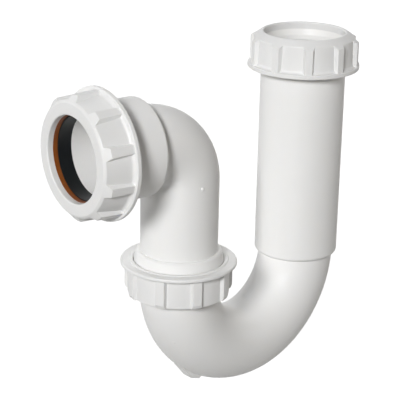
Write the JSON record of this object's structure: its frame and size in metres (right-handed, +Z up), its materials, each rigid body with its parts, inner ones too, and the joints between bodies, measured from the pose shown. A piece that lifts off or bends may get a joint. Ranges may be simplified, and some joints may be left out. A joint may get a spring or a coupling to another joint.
{
  "type": "washing machine trap",
  "caption": "Tubular plastic waste trap with a water-sealing bend, a tall standpipe socket and a swivel elbow outlet, closed by ribbed compression nuts.",
  "frame": {"origin": "centre of the pipe stop at the foot of the standpipe socket", "axes": "+Z up along the standpipe socket, out of its mouth; -X towards the union and outlet side of the bend; +Y across the trap"},
  "size_m": [0.1959, 0.0719, 0.1961],
  "materials": {
    "white_tube": "satin moulded polypropylene",
    "white_nut": "semi-gloss moulded polypropylene",
    "slip_washer": "plain, brown-orange",
    "black_seal": "smooth black rubber",
    "white_seal": "soft white elastomer"
  },
  "bodies": {
    "trap": {"trap_body": "white_tube", "union_seal": "black_seal"},
    "elbow": {"outlet_elbow": "white_tube", "outlet_seal": "black_seal"},
    "outlet_washer": {"outlet_slip_washer": "slip_washer"},
    "outlet_nut": {"outlet_nut": "white_nut"},
    "union_nut": {"union_nut": "white_nut"},
    "inlet_ring": {"inlet_seal": "white_seal"},
    "inlet_nut": {"inlet_nut": "white_nut"}
  },
  "joints": [
    {"name": "elbow_swivel", "type": "hinge", "parent": "trap", "child": "elbow", "pos_m": [-0.093, 0, 0], "axis": [0, 0, 1], "range_deg": [-130, 140]},
    {"name": "outlet_washer_slide", "type": "slide", "parent": "elbow", "child": "outlet_washer", "axis": [-0.9954, 0.0958, 0], "range_m": [0, 0.00875]},
    {"name": "outlet_nut_turn", "type": "hinge", "parent": "outlet_washer", "child": "outlet_nut", "pos_m": [-0.093, 0, 0.0834], "axis": [-0.9954, 0.0958, 0], "range_deg": [0, 900]},
    {"name": "union_nut_turn", "type": "hinge", "parent": "trap", "child": "union_nut", "pos_m": [-0.093, 0, 0], "axis": [0, 0, 1], "range_deg": [0, 90]},
    {"name": "inlet_ring_slide", "type": "slide", "parent": "trap", "child": "inlet_ring", "axis": [0, 0, 1], "range_m": [0, 0.00875]},
    {"name": "inlet_nut_turn", "type": "hinge", "parent": "inlet_ring", "child": "inlet_nut", "pos_m": [0, 0, 0], "axis": [0, 0, 1], "range_deg": [0, 900]}
  ],
  "couplings": [
    {"joint": "outlet_washer_slide", "follows": "outlet_nut_turn", "m_per_rad": 0.00055704},
    {"joint": "inlet_ring_slide", "follows": "inlet_nut_turn", "m_per_rad": 0.00055704}
  ]
}
